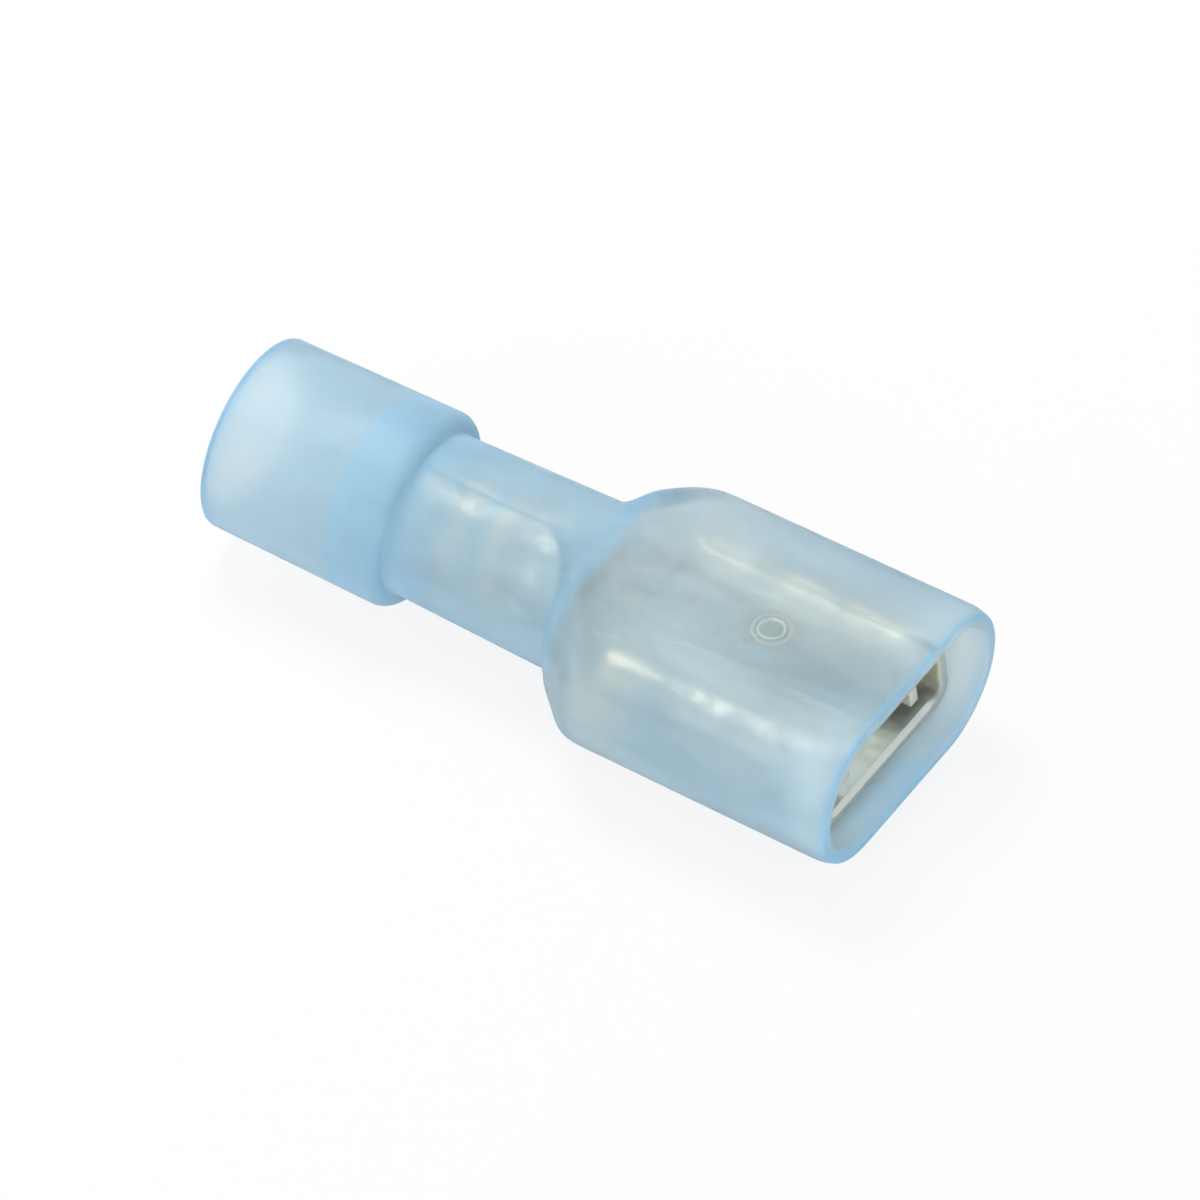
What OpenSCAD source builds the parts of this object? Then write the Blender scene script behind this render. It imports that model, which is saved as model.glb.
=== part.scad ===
// Insulated female spade terminal for a 6.3 x 0.8 mm tab.
// A rolled sheet metal terminal sits in a one-piece nylon housing.
// All sizes are in millimetres. Inside the modules X runs from the wire rim (0)
// to the mouth, and Y = Z = 0 is the axis of the wire barrel.

/* [Terminal] */
// Thickness of the sheet metal
sheet_t = 0.4; // [0.3:0.05:0.5]
// Inside diameter of the crimp barrel
crimp_id = 2.7; // [2.2:0.05:3]
// Length of the crimp barrel
crimp_l = 4.3; // [3.5:0.1:6]
// Width of the butt seam along the top of the crimp barrel
seam_gap = 0.1; // [0.04:0.02:0.3]
// Number of grip grooves inside the crimp barrel
groove_count = 3; // [0:1:4]
// Depth of each grip groove
groove_depth = 0.08; // [0.04:0.02:0.14]
// Width of each grip groove
groove_w = 0.3; // [0.2:0.05:0.5]
// Length of the open stretch between crimp barrel and receptacle
transition_l = 3.8; // [3.6:0.1:5.5]
// Height of the straight side wall where that stretch meets the receptacle
transition_wall_h = 0.5; // [0.2:0.05:0.8]
// Length of the rolled receptacle
receptacle_l = 8.2; // [6.5:0.1:9]
// Width of the receptacle over its rolls
receptacle_w = 7.4; // [7.2:0.1:8.2]
// Height of the receptacle over its rolls
receptacle_h = 2.9; // [2.8:0.05:3.1]
// Outside radius of the bends beside the floor
floor_bend_r = 0.8; // [0.7:0.05:1]
// Outside radius of the bends along the crest of the rolls
roll_bend_r = 1.05; // [1:0.05:1.4]
// Outside radius of the inward curls that press on the tab
curl_bend_r = 0.95; // [0.9:0.05:1.2]
// Gap between the curled edges and the floor
tab_gap = 0.7; // [0.6:0.05:0.8]
// Distance from the barrel axis down to the underside of the floor
floor_drop = 1.8; // [1.75:0.05:1.95]
// Lean of the front and rear edges of the rolls, in degrees
roll_lean = 9; // [0:1:14]
// Chamfer on the floor's front edge that leads the tab in
lead_in = 0.15; // [0.05:0.05:0.25]
// Base diameter of the detent dimple
dimple_d = 1.5; // [1:0.1:2]
// Height of the detent dimple above the floor
dimple_h = 0.3; // [0.2:0.05:0.35]
// Distance from the floor's front edge to the dimple
dimple_back = 4.6; // [3.5:0.1:5.5]

/* [Housing] */
// Wall thickness round the receptacle
body_wall = 0.55; // [0.45:0.05:0.7]
// Free room beside the rolls, on each side
side_room = 0.7; // [0.6:0.05:1]
// Height of the two rails that the receptacle's floor rests on
rail_h = 0.275; // [0.15:0.025:0.4]
// Width of each rail
rail_w = 0.45; // [0.3:0.05:0.8]
// Distance between the two rails, centre to centre
rail_spacing = 3.2; // [2:0.1:4]
// Width of the raised land inside the roof
land_w = 3.7; // [2:0.1:4.2]
// Height of the raised land inside the roof
land_h = 0.25; // [0.15:0.05:0.35]
// How far the receptacle stands back from the mouth
mouth_setback = 0.9; // [0.6:0.1:2]
// Length over which the outside draws in towards the mouth
mouth_taper_l = 0.6; // [0.3:0.05:1.5]
// How far the outside draws in at the mouth, per side
mouth_taper = 0.12; // [0.05:0.01:0.35]
// Chamfer of the inner edge round the mouth
mouth_chamfer = 0.06; // [0.04:0.01:0.12]
// Moulding draft of the body, per side from flare to mouth
body_draft = 0.05; // [0:0.01:0.1]
// Length of the flare from neck to body
flare_l = 2.95; // [2.6:0.05:3.4]
// How far the flare runs on past the receptacle's rear edge
flare_overlap = 0.4; // [0:0.1:0.5]
// Slope of the flare from the axis, in degrees
flare_angle = 40; // [34:1:44]
// How crisply the flare meets the body: a high value is crisp
flare_crispness = 14; // [8:1:20]
// Wall thickness of the neck beside the shoulder
neck_wall = 0.82; // [0.6:0.02:1.1]
// Moulding draft of the neck, per side over its length
neck_draft = 0.15; // [0:0.01:0.2]
// Radial clearance between the crimp barrel and the neck
fit_clearance = 0.05; // [0.03:0.01:0.1]

/* [Wire end] */
// Inside diameter of the wire barrel
wire_bore_d = 5; // [4.6:0.1:5.4]
// Depth of the wire barrel's straight bore
wire_bore_l = 4.75; // [3.5:0.05:7]
// Wall thickness of the wire barrel at its rim
wire_wall = 0.6; // [0.45:0.05:0.9]
// Moulding draft of the wire barrel, per side over its length
wire_draft = 0.09; // [0:0.01:0.15]
// Length of the funnel from the bore to the crimp barrel
funnel_l = 1.35; // [1:0.05:2.5]
// How far the funnel's small end is wider than the crimp bore, per side
funnel_ease = 0.05; // [0:0.01:0.1]
// How far the shoulder's foot stands past the funnel
shoulder_offset = 0.15; // [0.1:0.05:0.6]
// Radius of the rounded shoulder
shoulder_r = 0.45; // [0.2:0.05:0.5]
// Radius of the rim's outer edge
rim_edge_r = 0.12; // [0.05:0.01:0.2]
// Chamfer of the rim's inner edge
rim_chamfer = 0.15; // [0.05:0.01:0.2]

/* [Witness ring] */
// Outside diameter of the raised moulding ring on the top face
ring_d = 1.1; // [0.8:0.1:2]
// Width of the raised line
ring_line = 0.16; // [0.1:0.02:0.3]
// Height of the raised line
ring_h = 0.06; // [0.03:0.01:0.12]
// Distance from the mouth to the ring's centre
ring_back = 4.55; // [2:0.05:6]
// Sideways place of the ring's centre
ring_side = -0.57; // [-1.5:0.01:1.5]

/* [Hidden] */
$fn = 96;

skin_points = 60;      // points round each ring of the housing's skin
flare_steps = 10;      // rings along the outer flare
flare_steps_in = 8;    // rings along the inner flare
taper_steps = 5;       // rings along the taper at the mouth
min_rim = 0.08;        // narrowest flat rim round the mouth
arc_steps = 4;         // chords on a small rounded edge
strip_steps = 16;      // steps across each half of the open stretch
strip_rings = 9;       // stations along the open stretch
flare_trim = 0.35;     // share of the flare over which the oval's trim sets in
flare_reach = 0.675;   // share of the body's width that the cone ends at
flare_swell = 4;       // power of the late swell that brings it there
open_share = 0.8;      // share of the open stretch over which the seam opens
seam_margin = 1;       // degrees by which the open stretch clears the seam
shoulder_lean = 5;     // lean of the shoulder's face, in degrees
shoulder_foot = 0.02;  // and how far its foot stands out along X
min_edge_r = 0.05;     // smallest rounding a shoulder can have
join_step = 0.02;      // a skin is this much thinner than the wall it joins
join_lap = 0.06;       // and runs this far into it
sink = 0.12;           // how deep a rail, land or ring is rooted in its wall

// Stations along X
seat_x = wire_bore_l + funnel_l;
crimp_end_x = seat_x + crimp_l;
receptacle_x = crimp_end_x + transition_l;
floor_front_x = receptacle_x + receptacle_l;
mouth_x = floor_front_x + mouth_setback;
body_x = receptacle_x + flare_overlap;
flare_x = body_x - flare_l;
shoulder_x = seat_x + shoulder_offset;

// Crimp barrel and neck radii
crimp_r = crimp_id / 2;
crimp_out_r = crimp_r + sheet_t;
neck_bore_r = crimp_out_r + fit_clearance;
neck_r = neck_bore_r + neck_wall;
neck_end_r = neck_r + neck_draft;

// Wire barrel radii
wire_bore_r = wire_bore_d / 2;
wire_rim_r = wire_bore_r + wire_wall;
wire_end_r = wire_rim_r + wire_draft;
funnel_r = crimp_r + funnel_ease;
shoulder_edge_r = max(min_edge_r, min(shoulder_r, wire_end_r - neck_r - min_edge_r));

// Cavity and body at the mouth; they narrow by the draft towards the flare
floor_z = -floor_drop;
floor_top_z = floor_z + sheet_t;
crest_z = floor_z + receptacle_h;
cavity_half_h = max(floor_drop + rail_h, crest_z + land_h + fit_clearance);
cavity_w = receptacle_w + 2 * side_room;
cavity_h = 2 * cavity_half_h;
body_w = cavity_w + 2 * body_wall;
body_h = cavity_h + 2 * body_wall;

// Frame: the origin is at the middle of the footprint, on the lowest point
axis_z = max(wire_end_r, body_h / 2);

// ---- outlines ----

// Half-way easing from 0 to 1
function ease(t) = let(c = min(1, max(0, t))) c * c * (3 - 2 * c);
function blend(a, b, t) = a + (b - a) * t;

// Points on an arc, from angle a to angle b
function arc(cx, cy, r, a, b) =
    [for (i = [0:arc_steps]) let(t = blend(a, b, i / arc_steps))
        [cx + r * cos(t), cy + r * sin(t)]];

// Distance from the centre to the edge of a flat oval with full-round ends
function oval_r(a, w, h) =
    let(r = h / 2, c = (w - h) / 2, flat_r = r / max(abs(sin(a)), 0.001))
    flat_r * abs(cos(a)) < c ? flat_r
        : c * abs(cos(a)) + sqrt(r * r - pow(c * sin(a), 2));

// The smaller of two distances, with a rounded change-over
function soft_min(a, b, n) = pow(pow(1 / a, n) + pow(1 / b, n), -1 / n);

// One closed ring of the skin: a circle
function round_ring(x, r) =
    [for (i = [0:skin_points - 1]) let(a = 360 * i / skin_points) [x, r * cos(a), r * sin(a)]];

// One closed ring of the skin: a flat oval
function oval_ring(x, w, h) =
    [for (i = [0:skin_points - 1]) let(a = 360 * i / skin_points, r = oval_r(a, w, h))
        [x, r * cos(a), r * sin(a)]];

// One closed ring of the flare: a cone from the round neck, trimmed by the oval.
// u runs from 0 at the neck to 1 at the body, and n sets how crisp the trim is.
function flare_ring(u, neck, w, h, n) =
    let(
        slope = flare_l * tan(flare_angle),
        cone = neck + slope * u + (flare_reach * w - neck - slope) * pow(u, flare_swell)
    )
    [for (i = [0:skin_points - 1])
        let(
            a = 360 * i / skin_points,
            r = blend(neck, soft_min(cone, oval_r(a, w, h), n), ease(u / flare_trim))
        )
        [flare_x + flare_l * u, r * cos(a), r * sin(a)]];

// Joins rings end to end, and the last to the first, into one closed wall
module ring_wall(rings) {
    n = len(rings[0]);
    m = len(rings);
    polyhedron(
        points = [for (ring = rings) for (p = ring) p],
        faces = [
            for (j = [0:m - 1]) for (i = [0:n - 1])
                let(a = j * n + i, b = j * n + (i + 1) % n,
                    c = ((j + 1) % m) * n + (i + 1) % n, d = ((j + 1) % m) * n + i)
                each [[a, c, b], [a, d, c]]
        ],
        convexity = 8
    );
}

// Joins rings into one closed bar. Point i of a ring faces point n - 1 - i across
// the thickness of the bar, so the ends are closed by quads from face to face.
module ring_bar(rings) {
    n = len(rings[0]);
    m = len(rings);
    far = (m - 1) * n;
    polyhedron(
        points = [for (ring = rings) for (p = ring) p],
        faces = concat(
            [for (i = [0:n / 2 - 2]) let(a = i, b = i + 1, c = n - 2 - i, d = n - 1 - i)
                each [[a, b, c], [a, c, d], [far + a, far + c, far + b], [far + a, far + d, far + c]]],
            [for (j = [0:m - 2]) for (i = [0:n - 1])
                let(a = j * n + i, b = j * n + (i + 1) % n,
                    c = (j + 1) * n + (i + 1) % n, d = (j + 1) * n + i)
                each [[a, c, b], [a, d, c]]]
        ),
        convexity = 8
    );
}

// ---- housing ----

// Wire barrel, funnel and neck, turned about the axis. Points are [radius, x].
module wire_end() {
    rotate([0, 90, 0]) rotate_extrude() polygon(concat(
        [for (p = arc(rim_edge_r, wire_rim_r - rim_edge_r, rim_edge_r, 180, 90)) [p[1], p[0]]],
        [for (p = arc(shoulder_x - shoulder_edge_r, wire_end_r - shoulder_edge_r,
                shoulder_edge_r, 90, shoulder_lean)) [p[1], p[0]]],
        [
            [neck_r, shoulder_x + shoulder_foot],
            [neck_end_r, flare_x],
            [neck_bore_r, flare_x],
            [neck_bore_r, seat_x],
            [funnel_r, seat_x],
            [wire_bore_r, wire_bore_l],
            [wire_bore_r, rim_chamfer],
            [wire_bore_r + rim_chamfer, 0]
        ]
    ));
}

// Flare and flat-oval body as one wall: outside to the mouth, then back inside
module body_wall_skin() {
    back_w = body_w - 2 * body_draft;
    back_h = body_h - 2 * body_draft;
    cavity_back_w = cavity_w - 2 * body_draft;
    cavity_back_h = cavity_h - 2 * body_draft;
    mouth_inset = min(mouth_taper, body_wall - mouth_chamfer - min_rim);
    ring_wall(concat(
        [round_ring(flare_x - join_lap, neck_end_r - join_step)],
        [for (i = [0:flare_steps])
            flare_ring(i / flare_steps, neck_end_r - join_step, back_w, back_h,
                flare_crispness)],
        [for (i = [0:taper_steps])
            let(t = i / taper_steps, inset = mouth_inset * t * t)
            oval_ring(mouth_x - mouth_taper_l * (1 - t), body_w - 2 * inset,
                body_h - 2 * inset)],
        [oval_ring(mouth_x, cavity_w + 2 * mouth_chamfer, cavity_h + 2 * mouth_chamfer)],
        [oval_ring(mouth_x - mouth_chamfer, cavity_w, cavity_h)],
        [for (i = [flare_steps_in:-1:0])
            flare_ring(i / flare_steps_in, neck_bore_r + join_step, cavity_back_w,
                cavity_back_h, flare_crispness)],
        [round_ring(flare_x - join_lap, neck_bore_r + join_step)]
    ));
}

// Rails under the receptacle's floor
module rails() {
    rail_x = body_x + rail_w;
    for (side = [-1, 1])
        translate([rail_x, side * rail_spacing / 2 - rail_w / 2, -cavity_half_h - sink])
            cube([floor_front_x - rail_w - rail_x, rail_w, cavity_half_h + sink + floor_z]);
}

// Raised land inside the roof
module roof_land() {
    land_x = body_x + land_h;
    translate([land_x, -land_w / 2, cavity_half_h - land_h])
        cube([mouth_x - 2 * mouth_chamfer - land_x, land_w, land_h + sink]);
}

// Raised witness ring on the top face
module witness_ring() {
    translate([mouth_x - ring_back, ring_side, body_h / 2 - body_draft - sink])
        difference() {
            cylinder(h = sink + body_draft + ring_h, d = ring_d);
            translate([0, 0, -sink])
                cylinder(h = 3 * sink + body_draft + ring_h, d = ring_d - 2 * ring_line);
        }
}

module housing() {
    color([0.66, 0.81, 0.89])
    translate([-mouth_x / 2, 0, axis_z])
        union() {
            wire_end();
            body_wall_skin();
            rails();
            roof_land();
            witness_ring();
        }
}

// ---- terminal ----

// Crimp barrel with a butt seam on top and grip grooves inside
module crimp_barrel() {
    groove_pitch = crimp_l / (groove_count + 1);
    translate([seat_x, 0, 0])
        difference() {
            rotate([0, 90, 0]) cylinder(h = crimp_l, r = crimp_out_r);
            translate([-1, 0, 0]) rotate([0, 90, 0]) cylinder(h = crimp_l + 2, r = crimp_r);
            translate([-1, -seam_gap / 2, 0]) cube([crimp_l + 2, seam_gap, 2 * crimp_out_r]);
            if (groove_count > 0)
                for (i = [1:groove_count])
                    translate([i * groove_pitch - groove_w / 2, 0, 0])
                        rotate([0, 90, 0]) cylinder(h = groove_w, r = crimp_r + groove_depth);
        }
}

// A point on one half of the sheet's middle line in Y and Z, at a distance s from
// its centre: a flat, then a bend of a given angle, then a straight edge.
// It ends with the direction of the sheet's upper face: [y, z, face y, face z].
function strip_point(s, flat, r, angle) =
    let(bend = r * angle * PI / 180)
    s <= flat ? [s, 0, 0, 1]
        : s <= flat + bend ? let(a = (s - flat) * 180 / (PI * r))
            [flat + r * sin(a), r - r * cos(a), -sin(a), cos(a)]
        : let(e = s - flat - bend)
            [flat + r * sin(angle) + e * cos(angle), r - r * cos(angle) + e * sin(angle),
                -sin(angle), cos(angle)];

// One ring of the open stretch: upper face from right to left, lower face back
function strip_ring(x, z, flat, r, angle, edge, t) =
    let(
        half = flat + r * angle * PI / 180 + edge,
        right = [for (i = [0:strip_steps]) strip_point(half * i / strip_steps, flat, r, angle)],
        n = strip_steps
    )
    concat(
        [for (i = [n:-1:0]) let(p = right[i]) [x, p[0] + p[2] * t / 2, z + p[1] + p[3] * t / 2]],
        [for (i = [1:n]) let(p = right[i]) [x, -p[0] - p[2] * t / 2, z + p[1] + p[3] * t / 2]],
        [for (i = [n:-1:0]) let(p = right[i]) [x, -p[0] + p[2] * t / 2, z + p[1] - p[3] * t / 2]],
        [for (i = [1:n]) let(p = right[i]) [x, p[0] - p[2] * t / 2, z + p[1] - p[3] * t / 2]]
    );

// Open stretch: the closed barrel opens at the top, then widens into the floor
module transition() {
    mid_r = crimp_r + sheet_t / 2;
    bend_r = floor_bend_r - sheet_t / 2;
    closed_angle = 180 - asin(seam_gap / 2 / mid_r) - seam_margin;
    widen_from = (flare_x - crimp_end_x) / transition_l;
    last = strip_rings - 1;
    ring_bar([for (j = [-1:last + 1])
        let(
            u = min(1, max(0, j / last)),
            lap = j < 0 ? -join_lap : j > last ? join_lap : 0,
            open = ease(u / open_share),
            widen = ease((u - widen_from) / (1 - widen_from))
        )
        strip_ring(
            crimp_end_x + transition_l * u + lap,
            blend(-mid_r, floor_z + sheet_t / 2, widen),
            blend(0, receptacle_w / 2 - floor_bend_r, widen),
            blend(mid_r, bend_r, widen),
            blend(closed_angle, 90, open),
            blend(0, transition_wall_h, widen),
            sheet_t - join_step
        )]);
}

// A quarter of a bent sheet, round the origin, in the quadrant given by its signs
module quarter_bend(r, side_y, side_z) {
    intersection() {
        difference() {
            circle(r = r);
            circle(r = r - sheet_t);
        }
        translate([side_y > 0 ? 0 : -r, side_z > 0 ? 0 : -r]) square(r);
    }
}

// Right half of the receptacle's section, drawn in Y and Z
module receptacle_half() {
    floor_half = receptacle_w / 2 - floor_bend_r;
    roll_y = receptacle_w / 2 - roll_bend_r;
    roll_z = crest_z - roll_bend_r;
    curl_z = crest_z - curl_bend_r;
    tip_z = floor_top_z + tab_gap;
    translate([0, floor_z]) square([floor_half, sheet_t]);
    translate([floor_half, floor_z + floor_bend_r]) quarter_bend(floor_bend_r, 1, -1);
    translate([receptacle_w / 2 - sheet_t, floor_z + floor_bend_r])
        square([sheet_t, roll_z - floor_z - floor_bend_r]);
    translate([roll_y, roll_z]) quarter_bend(roll_bend_r, 1, 1);
    translate([roll_y, curl_z]) quarter_bend(curl_bend_r, -1, 1);
    translate([roll_y - curl_bend_r, tip_z]) square([sheet_t, curl_z - tip_z]);
}

// Rolled receptacle with leaning edges, a coined lead-in and a detent dimple
module receptacle() {
    dimple_r = (pow(dimple_d / 2, 2) + pow(dimple_h, 2)) / (2 * dimple_h);
    dimple_x = floor_front_x - dimple_back;
    dimple_z = floor_top_z + dimple_h - dimple_r;
    reach = 2 * receptacle_h;
    wall_top_z = floor_z + floor_bend_r + transition_wall_h;
    floor_half = receptacle_w / 2 - floor_bend_r;
    difference() {
        union() {
            translate([receptacle_x, 0, 0]) rotate([90, 0, 90])
                linear_extrude(height = receptacle_l)
                    union() {
                        receptacle_half();
                        mirror([1, 0]) receptacle_half();
                    }
            intersection() {
                translate([dimple_x, 0, dimple_z]) sphere(r = dimple_r);
                translate([dimple_x - dimple_d, -dimple_d, floor_z + sheet_t / 2])
                    cube([2 * dimple_d, 2 * dimple_d, sheet_t + dimple_h]);
            }
        }
        // underside of the dimple
        translate([dimple_x, 0, dimple_z]) sphere(r = dimple_r - sheet_t);
        // leaning front and rear edges of the rolls
        translate([floor_front_x, -receptacle_w, floor_top_z]) rotate([0, -roll_lean, 0])
            cube([reach, 2 * receptacle_w, reach]);
        translate([receptacle_x, -receptacle_w, wall_top_z])
            rotate([0, roll_lean, 0]) translate([-reach, 0, 0])
                cube([reach, 2 * receptacle_w, reach]);
        // lead-in on the floor's front edge
        translate([floor_front_x - lead_in, -floor_half, floor_top_z])
            rotate([0, 45, 0]) cube([reach, 2 * floor_half, reach]);
    }
}

module terminal() {
    color([0.79, 0.79, 0.76])
    translate([-mouth_x / 2, 0, axis_z])
        union() {
            crimp_barrel();
            transition();
            receptacle();
        }
}

housing();
terminal();
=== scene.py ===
import math

import bmesh
import bpy
from mathutils import Matrix, Vector


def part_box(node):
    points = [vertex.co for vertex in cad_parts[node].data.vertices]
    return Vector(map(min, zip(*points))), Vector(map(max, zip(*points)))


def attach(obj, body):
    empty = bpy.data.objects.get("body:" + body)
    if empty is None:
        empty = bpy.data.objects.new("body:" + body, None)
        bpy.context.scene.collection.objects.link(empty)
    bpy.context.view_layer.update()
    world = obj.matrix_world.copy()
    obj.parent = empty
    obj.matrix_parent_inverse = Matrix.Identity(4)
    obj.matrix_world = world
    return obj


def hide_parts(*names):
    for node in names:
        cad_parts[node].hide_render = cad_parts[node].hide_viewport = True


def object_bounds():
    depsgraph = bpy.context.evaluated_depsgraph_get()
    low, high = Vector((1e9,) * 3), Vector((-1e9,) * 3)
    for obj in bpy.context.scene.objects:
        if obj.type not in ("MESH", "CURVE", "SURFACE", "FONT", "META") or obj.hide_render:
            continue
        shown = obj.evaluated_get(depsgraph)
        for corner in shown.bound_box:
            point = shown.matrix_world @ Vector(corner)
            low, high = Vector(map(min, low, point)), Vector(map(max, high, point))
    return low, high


# An insulated female spade terminal: a rolled sheet metal terminal in a nylon housing.
# Lengths in the dictionaries are millimetres. Along X they are measured from the wire
# rim, and across it from the axis of the wire barrel. The meshes are in metres.

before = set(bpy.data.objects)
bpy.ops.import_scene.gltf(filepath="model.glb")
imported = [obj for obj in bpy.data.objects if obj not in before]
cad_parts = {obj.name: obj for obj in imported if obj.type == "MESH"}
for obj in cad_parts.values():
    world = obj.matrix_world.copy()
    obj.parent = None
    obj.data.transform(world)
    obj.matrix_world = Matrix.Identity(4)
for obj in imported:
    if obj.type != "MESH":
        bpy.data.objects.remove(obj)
cadLow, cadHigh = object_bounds()
mm = 0.001
print("frame loaded, box", [round(v / mm, 2) for v in (cadHigh - cadLow)], "mm")

# where the CAD part puts things
terminalLow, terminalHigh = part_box("terminal")
rimX = cadLow.x / mm
mouthX = (cadHigh.x - cadLow.x) / mm
seatX = (terminalLow.x - cadLow.x) / mm
floorFrontX = (terminalHigh.x - cadLow.x) / mm
receptacleHalfWidth = terminalHigh.y / mm
wireEndRadius = 3.19    # at the shoulder, where the part lies on the ground
axisZ = cadLow.z / mm + wireEndRadius


def place(x, y, z):
    # a point in millimetres from the wire rim and the barrel's axis, in the row frame
    return Vector((rimX + x, y, axisZ + z)) * mm


def ease(t):
    t = min(1.0, max(0.0, t))
    return t * t * (3 - 2 * t)


def mix(a, b, t):
    return a + (b - a) * t


def steps(a, b, count):
    # count values after a, the last of them b
    return [mix(a, b, (i + 1) / count) for i in range(count)]


def onlyVerts(geometry):
    return [g for g in geometry if isinstance(g, bmesh.types.BMVert)]


def onlyEdges(geometry):
    return [g for g in geometry if isinstance(g, bmesh.types.BMEdge)]


def extrudeRow(bm, edges):
    # a new row of edges, joined to the last by faces
    made = bmesh.ops.extrude_edge_only(bm, edges=edges)["geom"]
    return onlyVerts(made), [e for e in onlyEdges(made) if e.is_boundary]


def roundEdges(bm, edges, width, segments):
    bmesh.ops.bevel(
        bm, geom=edges, offset=width * mm, offset_type="OFFSET", segments=segments,
        profile=0.5, affect="EDGES", material=-1, clamp_overlap=True)


def makePiece(name, bm, material, cadNode):
    mesh = bpy.data.meshes.new(name)
    bm.to_mesh(mesh)
    bm.free()
    mesh.materials.append(material)
    for face in mesh.polygons:
        face.use_smooth = True
    piece = bpy.data.objects.new(name, mesh)
    bpy.context.scene.collection.objects.link(piece)
    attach(piece, "root")
    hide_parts(cadNode)
    print(name, "made,", len(mesh.polygons), "faces")
    return piece


class Sock:
    # wraps an output socket, so that sums on it add Math nodes
    def __init__(self, tree, socket):
        self.tree = tree
        self.socket = socket

    def math(self, operation, *others):
        return self.tree.node("ShaderNodeMath", {"operation": operation}, (self,) + others)

    def between(self, low, high):
        # 0 below low, 1 above high, and a straight ramp from one to the other
        share = (self - low) * (1 / (high - low))
        return share.math("MAXIMUM", 0.0).math("MINIMUM", 1.0)

    def __add__(self, other):
        return self.math("ADD", other)

    def __sub__(self, other):
        return self.math("SUBTRACT", other)

    def __rsub__(self, other):
        return self.tree.node("ShaderNodeMath", {"operation": "SUBTRACT"}, (other, self))

    def __mul__(self, other):
        return self.math("MULTIPLY", other)

    __radd__ = __add__
    __rmul__ = __mul__


class Tree:
    # the node tree of a material, or of the world
    def __init__(self, owner):
        self.owner = owner
        owner.use_nodes = True
        self.nodes = owner.node_tree.nodes
        self.links = owner.node_tree.links
        self.nodes.clear()

    def node(self, kind, settings=None, inputs=(), output=0):
        made = self.nodes.new(kind)
        for key, value in (settings or {}).items():
            if key == "stops":
                self.setStops(made.color_ramp, value)
            else:
                setattr(made, key, value)
        pairs = inputs.items() if isinstance(inputs, dict) else enumerate(inputs)
        for key, value in pairs:
            if isinstance(value, Sock):
                self.links.new(value.socket, made.inputs[key])
            else:
                made.inputs[key].default_value = value
        return Sock(self, made.outputs[output])

    def setStops(self, ramp, stops):
        while len(ramp.elements) < len(stops):
            ramp.elements.new(0.5)
        for element, (position, value) in zip(ramp.elements, stops):
            element.position = position
            element.color = (value, value, value, 1)

    def objectCoords(self, scale=(1, 1, 1), location=(0, 0, 0)):
        coords = self.node("ShaderNodeTexCoord", output=3)
        return self.node("ShaderNodeMapping", None, {0: coords, 1: location, 3: scale})

    def objectAxis(self, axis):
        return self.node("ShaderNodeSeparateXYZ", None, (self.objectCoords(),), output=axis)

    def attribute(self, name):
        return self.node("ShaderNodeAttribute", {"attribute_name": name}, output=2)

    def noise(self, coords, scale, detail=2.0, roughness=0.5):
        return self.node(
            "ShaderNodeTexNoise", None,
            {"Vector": coords, "Scale": scale, "Detail": detail, "Roughness": roughness})

    def ramp(self, value, *stops):
        return self.node("ShaderNodeValToRGB", {"stops": stops}, (value,))

    def colours(self, factor, a, b):
        return self.node(
            "ShaderNodeMix", {"data_type": "RGBA"}, {0: factor, 6: a, 7: b}, output=2)

    def bump(self, height, strength, distance, normal=None):
        inputs = {"Height": height, "Strength": strength, "Distance": distance}
        if normal:
            inputs["Normal"] = normal
        return self.node("ShaderNodeBump", None, inputs)

    def finish(self, surface, volume=None, kind="ShaderNodeOutputMaterial"):
        out = self.nodes.new(kind)
        self.links.new(surface.socket, out.inputs["Surface"])
        if volume:
            self.links.new(volume.socket, out.inputs["Volume"])
        return self.owner


nylonLook = dict(
    clearTint=(0.97, 0.93, 0.87),   # the clear share of the nylon
    milkTint=(0.42, 0.68, 0.84),    # the milky share that hangs in it
    cloudTint=(0.66, 0.81, 0.85),   # its paler clouds
    edgeTint=(0.29, 0.65, 0.94),    # where it is thick, and along its edges
    paintedLightTint=(0.84, 0.96, 0.99),    # painted light: the lit milk on the cavity's sides near the mouth and along the witness ring
    milk=0.11,                      # how milky it is where it is thin
    cloudSize=420.0,                # per metre, as the other sizes of a pattern
    cloudStretch=0.35,              # the flow of the melt draws the clouds out along X
    cloudMilk=0.18,                 # what the clouds add
    mottleSize=1500.0,              # finer spots between them
    mottleMilk=0.12,
    thickMilk=0.46,                 # what thick nylon adds
    # painted light: what the lit milk adds
    paintedLightMilk=0.42,
    grainSize=5200.0,               # satin grain of the mould
    depthTint=(0.25, 0.72, 0.98),   # what is left of white light in thick nylon
    depthDensity=100.0,             # how fast it takes hold, per metre
    clearness=0.94,
    roughness=0.46,
    ior=1.22,
)


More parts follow.
